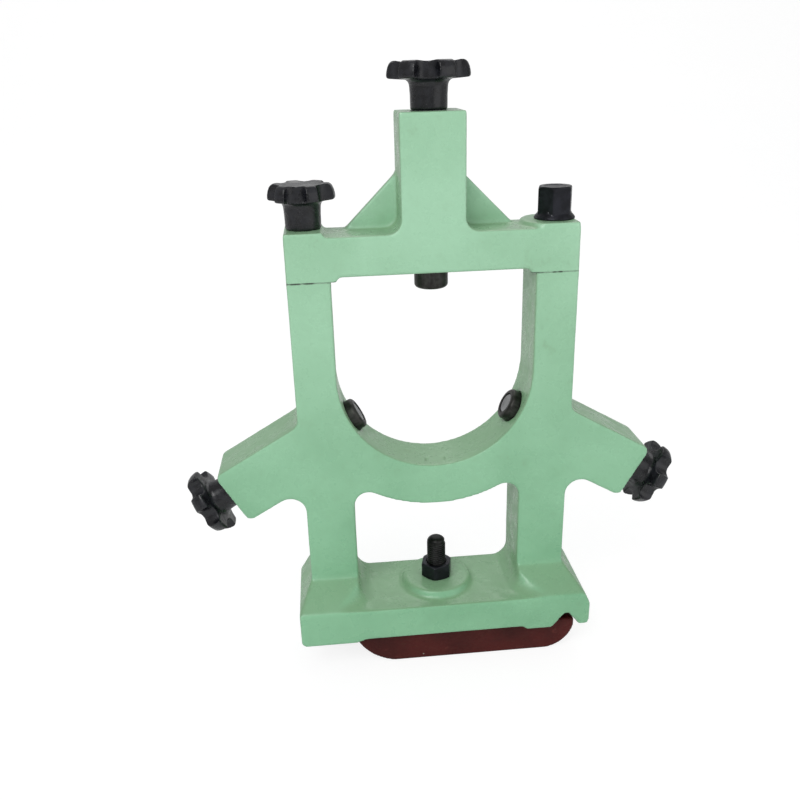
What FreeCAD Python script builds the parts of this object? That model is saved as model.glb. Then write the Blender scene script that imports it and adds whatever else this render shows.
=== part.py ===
import FreeCAD, Part
import math
import os
import Sketcher
from FreeCAD import Placement, Rotation, Vector

# Steady rest for a lathe: a cast lower frame that is clamped on the bed, a cast cap that swings
# open on a stud, and three quills that star knobs drive towards the work.
# Origin: the point on the work axis where the three jaws point. +Z up, +Y along the work axis.

SIZES = [
    ("centre_height", 224, "work axis above the flat way"),
    ("frame_depth", 46, "frame and cap, front to back"),
    ("jaw_angle", 120, "degrees between the jaws"),
    ("throat_radius", 77, "U opening"),
    ("ring_radius", 112, "outside of the ring under the work"),
    ("upright_out", 110, "outside of an upright and end of the cap"),
    ("joint_height", 78, "joint between frame and cap, above the work axis"),
    ("arm_reach", 192.5, "end face of an arm, from the work axis"),
    ("arm_half", 24, "half the width of an arm"),
    ("leg_out", 108, "outside of a leg"),
    ("leg_in", 68, "inside of a leg"),
    ("foot_left", 119, "left end of the base"),
    ("foot_right", 126, "right end of the base"),
    ("foot_front", 28.5, "base in front of the frame"),
    ("foot_top", 31, "top of the base above the flat way"),
    ("foot_bevel", 4, "bevel along the top of the right end of the base, across"),
    ("foot_bevel_drop", 9, "the same bevel, down"),
    ("lip_rise", 0.8, "right end of the base above the flat way"),
    ("foot_flare", 48, "height where the legs start to widen"),
    ("flat_way_in", 72, "inner edge of the flat way pad"),
    ("relief_rise", 3, "relief between the pads"),
    ("relief_run", 8, "slope beside the relief"),
    ("vee_centre", 106, "middle of the V way"),
    ("vee_half", 12, "half the width of the V way at the pad"),
    ("vee_rise", 15.4, "height of the V to its sharp apex"),
    ("vee_pad", 22, "flat pad left of the V way"),
    ("boss_radius", 31, "boss under the clamp nut"),
    ("boss_rise", 6, "boss above the base"),
    ("bolt_back", 11, "clamp bolt in front of the middle of the frame"),
    ("bolt_radius", 8, "M16 clamp bolt"),
    ("bolt_clear", 0.5, "clamp bolt in its holes"),
    ("bolt_top", 73.5, "top of the clamp bolt above the flat way"),
    ("nut_flats", 24, "M16 hexagons across flats"),
    ("nut_thick", 13, "clamp nut"),
    ("bolt_head", 10, "head of the clamp bolt"),
    ("pitch_m16", 2, "M16 thread pitch"),
    ("plate_left", 72, "clamp plate left of the bolt"),
    ("plate_right", 116, "clamp plate right of the bolt"),
    ("plate_half", 30, "half the width of the clamp plate"),
    ("plate_thick", 29, "clamp plate"),
    ("plate_rise_left", 12, "rounded left end of the plate"),
    ("plate_rise_right", 15, "rounded right end of the plate"),
    ("plate_seat", 0.2, "gap between plate and pads"),
    ("head_room", 2, "clamp bolt head above the underside of the plate"),
    ("cap_beam", 33, "height of the cap beam"),
    ("cap_relief", 3, "relief of the cap between the uprights"),
    ("column_half", 24, "half the width of the cap column"),
    ("column_top", 195, "top of the column from the work axis"),
    ("web_leg", 41, "webs beside the column"),
    ("web_face", 30, "front of the webs behind the front of the cap"),
    ("web_thick", 8, "webs"),
    ("stud_reach", 95, "studs from the work axis"),
    ("pivot_radius", 8, "M16 pivot stud"),
    ("clamp_radius", 6, "M12 clamp stud"),
    ("clamp_pitch", 1.75, "M12 thread pitch"),
    ("stud_depth", 34, "studs in the uprights"),
    ("running", 0.06, "radial running clearance"),
    ("slot_clear", 2.6, "clamp stud in the slot of the cap"),
    ("pad_rise", 3.5, "machined pads on the cap"),
    ("pad_reach", 3, "round pad under the collar nut, past the faces of the cap"),
    ("left_pad", 29, "pad under the clamp knob"),
    ("collar_radius", 15.5, "collar of the collar nut"),
    ("collar_nut_height", 24, "collar nut"),
    ("collar_thick", 4, "collar of the collar nut"),
    ("quill_radius", 13, "jaw quill"),
    ("quill_gap", 28, "casting's outer face to a quill's outer end, at rest"),
    ("quill_end", 15, "solid end of the quill"),
    ("quill_edge", 3, "rounded edge of the quill"),
    ("top_tip", 66, "top quill end from the work axis"),
    ("arm_tip", 69.4, "lower quill ends from the work axis"),
    ("tip_radius", 8.5, "jaw tip"),
    ("tip_depth", 4, "jaw tip seat"),
    ("tip_set_back", 0.8, "jaw tip behind the quill face"),
    ("screw_radius", 6, "feed screw"),
    ("screw_space", 12, "bottom of a quill's bore to the end of its screw, at rest"),
    ("thrust_radius", 10, "thrust collar of the feed screw"),
    ("thrust_thick", 5, "thrust collar of the feed screw"),
    ("thrust_gap", 0.1, "end play of the feed screw"),
    ("bush_length", 10, "retaining bush"),
    ("key_place", 100.8, "key screws from the work axis"),
    ("key_radius", 4, "key screw thread"),
    ("key_point", 2.9, "dog point radius"),
    ("groove_half", 3, "half the width of the keyway"),
    ("groove_depth", 3, "keyway"),
    ("groove_start", 20.5, "keyway from the quill face"),
    ("groove_margin", 6, "end of a keyway to the quill's outer end"),
    ("hub_radius", 13.4, "knob hub"),
    ("hub_bore", 6.5, "hole in the knob hub"),
    ("insert_radius", 9, "threaded insert in a knob"),
    ("insert_start", 3, "insert above the foot of the hub"),
    ("insert_length", 15, "threaded insert"),
    ("big_knob", 30, "radius of the top knob"),
    ("side_knob", 28, "radius of the knobs on the arms"),
    ("small_knob", 25, "radius of the clamp knob"),
    ("hub_height", 20.5, "hub of a knob up to its star rim"),
    ("side_hub", 17, "the same for the knobs on the arms"),
    ("rim_height", 12.5, "star rim of a knob"),
    ("knob_gap", 0.1, "foot of a jaw's knob off the casting"),
    ("scallop", 0.3, "scallop radius, as a share of the knob's radius"),
    ("small_scallop", 0.335, "the same for the clamp knob"),
    ("valley_turn", 9, "degrees from the front to the first scallop of an upright knob"),
    ("left_valley", 1, "the same for the left arm's knob"),
    ("right_valley", 38.5, "the same for the right arm's knob"),
    ("nut_turn", 16, "degrees that the nuts stand turned"),
    ("shoulder_round", 9, "corner of upright and arm"),
    ("armpit_round", 13, "corner of arm and leg"),
    ("window_round", 11, "upper corners of the window"),
    ("window_foot_round", 13, "lower corners of the window"),
    ("arm_end_round", 5, "corners at the arms' ends"),
    ("vee_round", 3, "apex of the V way"),
    ("base_round", 4, "lower corners of the base"),
    ("column_round", 10, "corner of column and beam"),
    ("web_round", 10, "ends of the webs"),
]
KNOB_LOBES = 6

doc = FreeCAD.newDocument("steady_rest")
sheet = doc.addObject("Spreadsheet::Sheet", "sizes")
for row, (alias, number, note) in enumerate(SIZES, start=1):
    sheet.set(f"A{row}", alias)
    sheet.set(f"B{row}", str(number))
    sheet.set(f"C{row}", note)
    sheet.setAlias(f"B{row}", alias)
doc.recompute()


class Size:
    """A cell of the sheet, or a formula on cells: its number now, and the text that binds a property."""

    def __init__(self, number, formula):
        self.number = float(number)
        self.formula = formula

    def join(self, other, sign, number):
        return Size(number, f"({self.formula} {sign} {as_size(other).formula})")

    def __add__(self, other):
        return self.join(other, "+", self.number + as_size(other).number)

    def __sub__(self, other):
        return self.join(other, "-", self.number - as_size(other).number)

    def __mul__(self, other):
        return self.join(other, "*", self.number * as_size(other).number)

    def __truediv__(self, other):
        return self.join(other, "/", self.number / as_size(other).number)

    def __radd__(self, other):
        return as_size(other) + self

    def __rsub__(self, other):
        return as_size(other) - self

    def __rmul__(self, other):
        return as_size(other) * self

    def __neg__(self):
        return Size(-self.number, f"(0 - {self.formula})")


def as_size(value):
    return value if isinstance(value, Size) else Size(value, repr(float(value)))


def cell(alias):
    return Size(sheet.get(alias), f"sizes.{alias}")


def root(size):
    return Size(math.sqrt(size.number), f"sqrt({size.formula})")


def sine(size):
    return Size(math.sin(math.radians(size.number)), f"sin({size.formula} * 1 deg)")


def cosine(size):
    return Size(math.cos(math.radians(size.number)), f"cos({size.formula} * 1 deg)")


S = {alias: cell(alias) for alias, number, note in SIZES}
JAW_TURNS = {"top": as_size(0), "right": S["jaw_angle"], "left": -S["jaw_angle"]}


def bind(thing, **values):
    """Give properties their numbers; a double underscore in a name stands for a dot."""
    for name, value in values.items():
        thing.setExpression(name.replace("__", "."), as_size(value).formula)


def new_body(name):
    body = doc.addObject("PartDesign::Body", name)
    body.Label = name
    return body


def jaw_place(thing, side, distance):
    """Place a sub-part made along +Z so that its foot lies on a jaw's axis."""
    turn = JAW_TURNS[side]
    angle = turn.number
    thing.Placement = Placement(Vector(), Rotation(Vector(0, 1, 0), angle))
    bind(thing, Placement__Base__x=distance * sine(turn), Placement__Base__z=distance * cosine(turn))


def turn_about_z(thing, angle):
    thing.Placement = Placement(Vector(), Rotation(Vector(0, 0, 1), angle.number))


def arc_between(start, end, radius):
    """Arc from start to end; a positive radius turns anticlockwise. Says if the arc is stored reversed."""
    middle = (start + end) * 0.5
    chord = end - start
    left = Vector(-chord.y, chord.x, 0).normalize()
    height = math.sqrt(max(radius ** 2 - (chord.Length / 2) ** 2, 0))
    centre = middle + left * math.copysign(height, radius)
    first, last = (start, end) if radius > 0 else (end, start)
    angles = [math.atan2(point.y - centre.y, point.x - centre.x) for point in (first, last)]
    if angles[1] <= angles[0]:
        angles[1] += 2 * math.pi
    return Part.ArcOfCircle(Part.Circle(centre, Vector(0, 0, 1), abs(radius)), *angles), radius < 0


def new_sketch(body, name, plane, lift=0):
    sketch = body.newObject("Sketcher::SketchObject", name)
    support = [item for item in body.Origin.OriginFeatures if item.Role == plane][0]
    sketch.AttachmentSupport = (support, [""])
    sketch.MapMode = "FlatFace"
    bind(sketch, AttachmentOffset__Base__z=lift)
    return sketch


def add_loop(sketch, corners, arcs):
    """Closed loop whose corners are pairs of sizes; arcs gives a radius to the side after a corner."""
    pairs = [(as_size(u), as_size(v)) for u, v in corners]
    points = [Vector(u.number, v.number, 0) for u, v in pairs]
    count = len(points)
    first = sketch.GeometryCount
    ends = []
    for side, start in enumerate(points):
        finish = points[(side + 1) % count]
        if side in arcs:
            edge, flipped = arc_between(start, finish, as_size(arcs[side]).number)
        else:
            edge, flipped = Part.LineSegment(start, finish), False
        sketch.addGeometry(edge)
        ends.append((2, 1) if flipped else (1, 2))
    for side, pair in enumerate(pairs):
        following = (side + 1) % count
        joint = (first + side, ends[side][1], first + following, ends[following][0])
        sketch.addConstraint(Sketcher.Constraint("Coincident", *joint))
        for kind, axis, size in (("DistanceX", -2, pair[0]), ("DistanceY", -1, pair[1])):
            corner = (first + side, ends[side][0])
            if size.formula == "0.0":
                sketch.addConstraint(Sketcher.Constraint("PointOnObject", *corner, axis))
            else:
                rule = Sketcher.Constraint(kind, -1, 1, *corner, size.number)
                sketch.setExpression(f"Constraints[{sketch.addConstraint(rule)}]", size.formula)
    for side, radius in arcs.items():
        radius = as_size(radius)
        rule = Sketcher.Constraint("Radius", first + side, abs(radius.number))
        sketch.setExpression(f"Constraints[{sketch.addConstraint(rule)}]", f"abs({radius.formula})")


def outline(body, name, plane, corners, arcs=None, lift=0):
    """Sketch with one closed loop, on an origin plane of the body or lifted off it."""
    sketch = new_sketch(body, name, plane, lift)
    add_loop(sketch, corners, arcs or {})
    return sketch


def pad(body, sketch, length, symmetric=False, back=False):
    feature = body.newObject("PartDesign::Pad", sketch.Name + "_pad")
    feature.Profile = sketch
    feature.SideType = "Symmetric" if symmetric else "One side"
    feature.Reversed = back
    bind(feature, Length=length)
    return feature


def pocket(body, sketch, length, symmetric=False, back=False):
    feature = body.newObject("PartDesign::Pocket", sketch.Name + "_pocket")
    feature.Profile = sketch
    feature.SideType = "Symmetric" if symmetric else "One side"
    feature.Reversed = back
    bind(feature, Length=length)
    return feature


def turned(name, corners, arcs=None):
    """Body turned about its own Z axis from a half section of (radius, height) corners."""
    body = new_body(name)
    sketch = outline(body, name + "_section", "XZ_Plane", corners, arcs)
    feature = body.newObject("PartDesign::Revolution", name + "_turned")
    feature.Profile = sketch
    feature.ReferenceAxis = (sketch, ["V_Axis"])
    feature.Angle = 360
    return body


def bored(body, name, radius, length, x=0, y=0, z=0, axis=Vector(0, 0, 1), turn=0.0):
    """Round hole: its foot is at x, y, z and it runs along +Z turned about axis."""
    hole = body.newObject("PartDesign::SubtractiveCylinder", name)
    bind(hole, Radius=radius, Height=length)
    hole.Placement = Placement(Vector(), Rotation(axis, turn))
    bind(hole, Placement__Base__x=x, Placement__Base__y=y, Placement__Base__z=z)
    return hole


def rounded(body, name, radius, wanted):
    """Round the edges of the body that run along Y at the wanted (x, z) places."""
    doc.recompute()
    places = [(as_size(x).number, as_size(z).number) for x, z in wanted]
    names = []
    for number, edge in enumerate(body.Tip.Shape.Edges, start=1):
        ends = [vertex.Point for vertex in edge.Vertexes]
        if len(ends) != 2 or abs(ends[0].x - ends[1].x) + abs(ends[0].z - ends[1].z) > 1e-4:
            continue
        if any(math.hypot(ends[0].x - x, ends[0].z - z) < 1e-3 for x, z in places):
            names.append(f"Edge{number}")
    return fillet(body, name, radius, names)


def fillet(body, name, radius, names):
    base = body.Tip
    feature = body.newObject("PartDesign::Fillet", name)
    feature.Base = (base, names)
    bind(feature, Radius=radius)
    return feature


SEAT = -S["centre_height"]
HALF_DEPTH = S["frame_depth"] / 2
TILT = S["jaw_angle"] - 90
ARM_SLOPE = sine(TILT) / cosine(TILT)
ARM_DROP = S["arm_half"] / cosine(TILT)
BORE = S["quill_radius"] + S["running"]


def arm_point(along, across):
    """(x, z) of a point of the right arm, along its axis and up across it."""
    return (along * cosine(TILT) + across * sine(TILT), across * cosine(TILT) - along * sine(TILT))


def mirrored(corners):
    """Corners of the right side, then the same on the left, as one closed outline."""
    return list(corners) + [(-x, z) for x, z in reversed(corners)]


def box_corners(left, right, front, back):
    return [(left, front), (right, front), (right, back), (left, back)]


def made_lower_frame():
    """Casting: base with flat way and V way, two legs, ring, two arms and two uprights."""
    body = new_body("lower_frame")
    foot_top = SEAT + S["foot_top"]
    flare = SEAT + S["foot_flare"]
    silhouette = mirrored([
        (S["upright_out"], S["joint_height"]),
        (S["upright_out"], ARM_DROP - S["upright_out"] * ARM_SLOPE),
        arm_point(S["arm_reach"], S["arm_half"]),
        arm_point(S["arm_reach"], -S["arm_half"]),
        (S["leg_out"], -ARM_DROP - S["leg_out"] * ARM_SLOPE),
        (S["leg_out"], foot_top - 5),
    ])
    pad(body, outline(body, "frame_face", "XZ_Plane", silhouette), S["frame_depth"], symmetric=True)

    relief = SEAT + S["relief_rise"]
    pad_end = S["vee_centre"] - S["vee_half"]
    lip = SEAT + S["lip_rise"]
    vee_toe = S["vee_centre"] + S["vee_half"] * (1 - S["lip_rise"] / S["vee_rise"])
    bevel_end = S["foot_right"] - S["foot_bevel"]
    base_section = [
        (-S["foot_left"], SEAT),
        (-S["flat_way_in"], SEAT),
        (S["relief_run"] - S["flat_way_in"], relief),
        (pad_end - S["vee_pad"] - S["relief_run"] / 2, relief),
        (pad_end - S["vee_pad"], SEAT),
        (pad_end, SEAT),
        (S["vee_centre"], SEAT + S["vee_rise"]),
        (vee_toe, lip),
        (S["foot_right"], lip),
        (S["foot_right"], foot_top - S["foot_bevel_drop"]),
        (bevel_end, foot_top),
        (-S["foot_left"], foot_top),
    ]
    base = outline(body, "base_section", "XZ_Plane", base_section, lift=-HALF_DEPTH)
    pad(body, base, S["frame_depth"] + S["foot_front"])

    front = -HALF_DEPTH - S["foot_front"]
    for side, inner, outer, end in (("right", S["leg_in"], S["leg_out"], bevel_end),
                                    ("left", -S["leg_in"], -S["leg_out"], -S["foot_left"])):
        upper = box_corners(inner, outer, -HALF_DEPTH, HALF_DEPTH)
        lower = box_corners(inner, end, front, HALF_DEPTH)
        flared = body.newObject("PartDesign::AdditiveLoft", side + "_foot")
        flared.Profile = outline(body, side + "_foot_low", "XY_Plane", lower, lift=foot_top)
        flared.Sections = [outline(body, side + "_foot_high", "XY_Plane", upper, lift=flare)]
        flared.Ruled = True

    haunch = -root(S["ring_radius"] * S["ring_radius"] - S["leg_in"] * S["leg_in"])
    window = [
        (S["leg_in"], foot_top),
        (S["leg_in"], haunch),
        (0, -S["ring_radius"]),
        (-S["leg_in"], haunch),
        (-S["leg_in"], foot_top),
    ]
    ring_arcs = {1: -S["ring_radius"], 2: -S["ring_radius"]}
    opening = outline(body, "window", "XZ_Plane", window, ring_arcs)
    pocket(body, opening, S["frame_depth"] + 1, symmetric=True)
    throat = [
        (S["throat_radius"], S["joint_height"] + 5),
        (S["throat_radius"], 0),
        (0, -S["throat_radius"]),
        (-S["throat_radius"], 0),
        (-S["throat_radius"], S["joint_height"] + 5),
    ]
    throat_arcs = {1: -S["throat_radius"], 2: -S["throat_radius"]}
    opening = outline(body, "throat", "XZ_Plane", throat, throat_arcs)
    pocket(body, opening, S["frame_depth"] + 1, symmetric=True)

    shoulder = (S["upright_out"], ARM_DROP - S["upright_out"] * ARM_SLOPE)
    armpit = (S["leg_out"], -ARM_DROP - S["leg_out"] * ARM_SLOPE)
    arm_ends = [arm_point(S["arm_reach"], S["arm_half"]), arm_point(S["arm_reach"], -S["arm_half"])]
    rounded(body, "shoulder_rounds", S["shoulder_round"], mirrored([shoulder]))
    rounded(body, "armpit_rounds", S["armpit_round"], mirrored([armpit]))
    rounded(body, "window_top_rounds", S["window_round"], mirrored([(S["leg_in"], haunch)]))
    rounded(body, "window_foot_rounds", S["window_foot_round"], mirrored([(S["leg_in"], foot_top)]))
    rounded(body, "arm_end_rounds", S["arm_end_round"], mirrored(arm_ends))
    rounded(body, "vee_rounds", S["vee_round"], [(S["vee_centre"], SEAT + S["vee_rise"])])
    rounded(body, "base_end_rounds", S["base_round"], [(-S["foot_left"], SEAT), (S["foot_right"], lip)])

    boss = body.newObject("PartDesign::AdditiveCone", "nut_boss")
    bind(boss, Radius1=S["boss_radius"], Radius2=S["boss_radius"] - S["boss_rise"] / 2)
    bind(boss, Height=S["boss_rise"], Placement__Base__y=-S["bolt_back"], Placement__Base__z=foot_top)

    bored(body, "bolt_hole", S["bolt_radius"] + S["bolt_clear"], S["foot_top"] + S["boss_rise"] + 2,
          y=-S["bolt_back"], z=SEAT - 1)
    for side, sign in (("right", 1), ("left", -1)):
        turn = JAW_TURNS[side]
        bored(body, side + "_quill_bore", BORE, S["arm_reach"] + 1, axis=Vector(0, 1, 0), turn=turn.number)
        bored(body, side + "_key_hole", S["key_radius"], HALF_DEPTH, x=sign * S["key_place"] * cosine(TILT),
              y=S["quill_radius"] - 1, z=-S["key_place"] * sine(TILT), axis=Vector(1, 0, 0), turn=-90)
        radius = S["pivot_radius"] if side == "right" else S["clamp_radius"]
        bored(body, side + "_stud_hole", radius, S["stud_depth"] + 1, x=sign * S["stud_reach"],
              z=S["joint_height"] - S["stud_depth"])
    return body


BEAM_TOP = S["joint_height"] + S["cap_beam"]
PAD_TOP = BEAM_TOP + S["pad_rise"]


def made_top_cap():
    """Casting: beam with a column for the top jaw, webs, and an open slot for the clamp stud."""
    body = new_body("top_cap")
    silhouette = mirrored([
        (S["column_half"], S["column_top"]),
        (S["column_half"], BEAM_TOP),
        (S["upright_out"], BEAM_TOP),
        (S["upright_out"], S["joint_height"]),
        (S["throat_radius"], S["joint_height"]),
        (S["throat_radius"] - 2 * S["cap_relief"], S["joint_height"] + S["cap_relief"]),
    ])
    pad(body, outline(body, "cap_face", "XZ_Plane", silhouette), S["frame_depth"], symmetric=True)
    rounded(body, "column_rounds", S["column_round"], mirrored([(S["column_half"], BEAM_TOP)]))
    web_foot = S["column_half"] + S["web_leg"]
    web = [(-web_foot, BEAM_TOP), (-web_foot, BEAM_TOP - 2), (web_foot, BEAM_TOP - 2),
           (web_foot, BEAM_TOP), (0, BEAM_TOP + web_foot)]
    web_back = HALF_DEPTH - S["web_face"] - S["web_thick"]
    pad(body, outline(body, "web", "XZ_Plane", web, lift=web_back), S["web_thick"])
    web_ends = [(S["column_half"], BEAM_TOP + S["web_leg"]), (web_foot, BEAM_TOP)]
    rounded(body, "web_rounds", S["web_round"], mirrored(web_ends))

    round_pad = body.newObject("PartDesign::AdditiveCylinder", "nut_pad")
    bind(round_pad, Radius=HALF_DEPTH + S["pad_reach"], Height=S["pad_rise"])
    bind(round_pad, Placement__Base__x=S["stud_reach"], Placement__Base__z=BEAM_TOP)
    left_pad = box_corners(-S["upright_out"], S["left_pad"] - S["upright_out"], -HALF_DEPTH, HALF_DEPTH)
    pad(body, outline(body, "knob_pad", "XY_Plane", left_pad, lift=BEAM_TOP), S["pad_rise"])
    trim = new_sketch(body, "pad_trim", "XY_Plane", PAD_TOP)
    for reach, depth in ((S["upright_out"] + 30, S["frame_depth"]), (S["upright_out"], HALF_DEPTH)):
        add_loop(trim, box_corners(-reach, reach, -depth, depth), {})
    pocket(body, trim, S["pad_rise"])

    half = S["clamp_radius"] + S["slot_clear"]
    slot = [(-S["stud_reach"] - half, HALF_DEPTH + 1), (-S["stud_reach"] - half, 0), (-S["stud_reach"], -half),
            (half - S["stud_reach"], 0), (half - S["stud_reach"], HALF_DEPTH + 1)]
    opening = outline(body, "stud_slot", "XY_Plane", slot, {1: half, 2: half}, lift=PAD_TOP)
    pocket(body, opening, S["cap_beam"] + S["pad_rise"] + 1)
    bored(body, "pivot_hole", S["pivot_radius"] + S["running"], S["cap_beam"] + S["pad_rise"] + 2,
          x=S["stud_reach"], z=S["joint_height"] - 1)
    bored(body, "quill_bore", BORE, S["column_top"], z=1)
    bored(body, "key_hole", S["key_radius"], HALF_DEPTH, y=S["quill_radius"] - 1, z=S["key_place"],
          axis=Vector(1, 0, 0), turn=-90)
    return body


def made_quill(side, tip, end):
    """Bored quill with a keyway at the back and a seat for its tip; its foot is its inner face."""
    edge = S["quill_edge"]
    radius = S["quill_radius"]
    length = end - S["quill_gap"] - tip
    bore = S["screw_radius"] + S["running"]
    body = turned(side + "_jaw_quill", [
        (S["tip_radius"], 0), (radius - edge, 0), (radius, edge), (radius, length - 1),
        (radius - 1, length), (bore, length), (bore, S["quill_end"]), (0, S["quill_end"]),
        (0, S["tip_depth"]), (S["tip_radius"], S["tip_depth"]),
    ], {1: edge})
    half = S["groove_half"]
    start = S["groove_start"]
    finish = length - S["groove_margin"]
    keyway = [(-half, start + half), (0, start), (half, start + half), (half, finish - half),
              (0, finish), (-half, finish - half)]
    groove = outline(body, side + "_keyway", "XZ_Plane", keyway, {0: half, 1: half, 3: half, 4: half},
                     lift=S["groove_depth"] - radius)
    pocket(body, groove, S["groove_depth"] + 1)
    jaw_place(body, side, tip)
    return body


def made_tip(side, tip):
    """Hard tip pressed into the quill, with a dished face set back from the rim."""
    radius = S["tip_radius"]
    face = S["tip_set_back"]
    body = turned(side + "_jaw_tip", [
        (0, face + 1.4), (radius - 2, face), (radius, face), (radius, S["tip_depth"]), (0, S["tip_depth"]),
    ])
    jaw_place(body, side, tip)
    return body


def made_screw(side, tip, end):
    """Feed screw with a thrust collar; its foot is at the outer face of the casting."""
    radius = S["screw_radius"]
    thrust = -S["bush_length"] - S["thrust_gap"]
    collar = S["thrust_radius"]
    inner = tip + S["quill_end"] + S["screw_space"] - end
    body = turned(side + "_jaw_screw", [
        (0, inner), (radius - 1, inner), (radius, inner + 1), (radius, thrust - S["thrust_thick"]),
        (collar, thrust - S["thrust_thick"]), (collar, thrust), (radius, thrust),
        (radius, S["insert_start"] + S["insert_length"] - 1), (0, S["insert_start"] + S["insert_length"] - 1),
    ])
    jaw_place(body, side, end)
    return body


def made_bush(side, end):
    bore = S["screw_radius"] + S["running"]
    length = S["bush_length"]
    body = turned(side + "_jaw_bush", [(bore, -length), (BORE, -length), (BORE, 0), (bore, 0)])
    jaw_place(body, side, end)
    return body


def made_key_screw(side):
    """Set screw whose dog point runs in the keyway, from the back of the casting."""
    wall = BORE - S["quill_radius"] + S["groove_depth"]
    length = HALF_DEPTH - S["quill_radius"] + S["groove_depth"] - 1.3
    body = turned(side + "_key_screw", [
        (0, 0), (S["key_point"], 0), (S["key_point"], wall), (S["key_radius"], wall + 1),
        (S["key_radius"], length), (2, length), (2, length - 4), (0, length - 4),
    ])
    turn = JAW_TURNS[side]
    body.Placement = Placement(Vector(), Rotation(Vector(1, 0, 0), -90))
    bind(body, Placement__Base__x=S["key_place"] * sine(turn), Placement__Base__z=S["key_place"] * cosine(turn),
         Placement__Base__y=S["quill_radius"] - S["groove_depth"] + 0.3)
    return body


def made_knob(name, radius, share, under, valley):
    """Moulded star knob: hub, domed rim with scallops, dished top, pocket for the insert."""
    height = under + S["rim_height"]
    hub = S["hub_radius"]
    pocket_top = S["insert_start"] + S["insert_length"]
    body = turned(name, [
        (S["hub_bore"], 0), (hub, 0), (hub + 0.6, under - 2), (hub + 2.6, under), (radius, under + 1.5),
        (radius, under + 4), (radius - 3.5, height - 1), (radius - 5, height), (radius / 2, height),
        (radius / 2 - 2, height - 1.5), (0, height - 1.5), (0, pocket_top), (S["insert_radius"], pocket_top),
        (S["insert_radius"], S["insert_start"]), (S["hub_bore"], S["insert_start"]),
    ], {5: radius * 0.6})
    scallop = body.newObject("PartDesign::SubtractiveCylinder", name + "_scallop")
    bind(scallop, Radius=radius * share, Height=S["rim_height"] + 4, Placement__Base__z=under - 2)
    bind(scallop, Placement__Base__x=-radius * sine(valley), Placement__Base__y=-radius * cosine(valley))
    lobes = body.newObject("PartDesign::PolarPattern", name + "_lobes")
    lobes.Originals = [scallop]
    lobes.Axis = ([item for item in body.Origin.OriginFeatures if item.Role == "Z_Axis"][0], [""])
    lobes.Angle = 360
    lobes.Occurrences = KNOB_LOBES
    body.Tip = lobes
    return body


def made_insert(name, play=0):
    """Threaded insert of a knob; play is its clearance all round where the knob turns on it."""
    start = S["insert_start"] + play
    finish = S["insert_start"] + S["insert_length"] - play
    bore = S["screw_radius"] + play
    outer = S["insert_radius"] - play
    return turned(name, [(bore, start), (outer, start), (outer, finish), (bore, finish)])


def hexagon(flats):
    corner = flats / root(as_size(3))
    half = flats / 2
    return [(corner, 0), (corner / 2, half), (-corner / 2, half), (-corner, 0), (-corner / 2, -half),
            (corner / 2, -half)]


def hex_chamfer(body, flats, top):
    """Turned bevel on the upper corners of a hexagon."""
    corner = flats / root(as_size(3)) + 1
    bevel = [(flats / 2, top), (corner, top), (corner, top - (corner - flats / 2) / 2)]
    cut = body.newObject("PartDesign::Groove", body.Name + "_bevel")
    cut.Profile = outline(body, body.Name + "_bevel_section", "XZ_Plane", bevel)
    cut.ReferenceAxis = (cut.Profile[0], ["V_Axis"])
    cut.Angle = 360


def made_clamp_nut():
    body = new_body("clamp_nut")
    pad(body, outline(body, "nut_hexagon", "XY_Plane", hexagon(S["nut_flats"])), S["nut_thick"])
    hex_chamfer(body, S["nut_flats"], S["nut_thick"])
    bored(body, "nut_thread", S["bolt_radius"] + S["running"], S["nut_thick"] + 2, z=-1)
    turn_about_z(body, S["nut_turn"])
    bind(body, Placement__Base__y=-S["bolt_back"], Placement__Base__z=SEAT + S["foot_top"] + S["boss_rise"])
    return body


def made_collar_nut():
    body = new_body("pivot_collar_nut")
    pad(body, outline(body, "collar_hexagon", "XY_Plane", hexagon(S["nut_flats"])), S["collar_nut_height"])
    hex_chamfer(body, S["nut_flats"], S["collar_nut_height"])
    collar = body.newObject("PartDesign::AdditiveCone", "collar")
    bind(collar, Radius1=S["collar_radius"], Radius2=S["nut_flats"] / 2, Height=S["collar_thick"])
    bored(body, "collar_thread", S["pivot_radius"], S["collar_nut_height"] + 2, z=-1)
    turn_about_z(body, S["nut_turn"])
    bind(body, Placement__Base__x=S["stud_reach"], Placement__Base__z=PAD_TOP)
    return body


def made_stud(name, radius, x, top):
    """Plain stud from inside an upright up to its top."""
    foot = S["joint_height"] - S["stud_depth"]
    length = top - foot
    body = turned(name, [(0, 0), (radius - 1, 0), (radius, 1), (radius, length - 1),
                         (radius - 1, length), (0, length)])
    bind(body, Placement__Base__x=x, Placement__Base__z=foot)
    return body


PLATE_TOP = SEAT - S["plate_seat"]
HEAD_FOOT = S["head_room"] - S["plate_thick"]


def made_clamp_plate():
    """Clamp plate under the bed with rounded ends; its foot is the middle of its top face."""
    body = new_body("clamp_plate")
    left = -S["plate_left"]
    right = S["plate_right"]
    thick = -S["plate_thick"]
    section = [
        (left, 0), (left, -S["plate_rise_left"] / 2), (left * 0.55, thick), (right * 0.78, thick),
        (right, -S["plate_rise_right"] / 2), (right, 0),
    ]
    face = outline(body, "plate_face", "XZ_Plane", section, {1: S["plate_left"] * 0.6, 3: S["plate_right"] * 0.25})
    pad(body, face, 2 * S["plate_half"], symmetric=True)
    bored(body, "plate_hole", S["bolt_radius"] + S["running"], S["plate_thick"] + 2, z=thick - 1)
    counterbore = S["nut_flats"] / root(as_size(3)) + 1
    bored(body, "head_seat", counterbore, S["bolt_head"] + S["head_room"] + 1, z=thick - 1)
    bind(body, Placement__Base__y=-S["bolt_back"], Placement__Base__z=PLATE_TOP)
    return body


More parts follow.
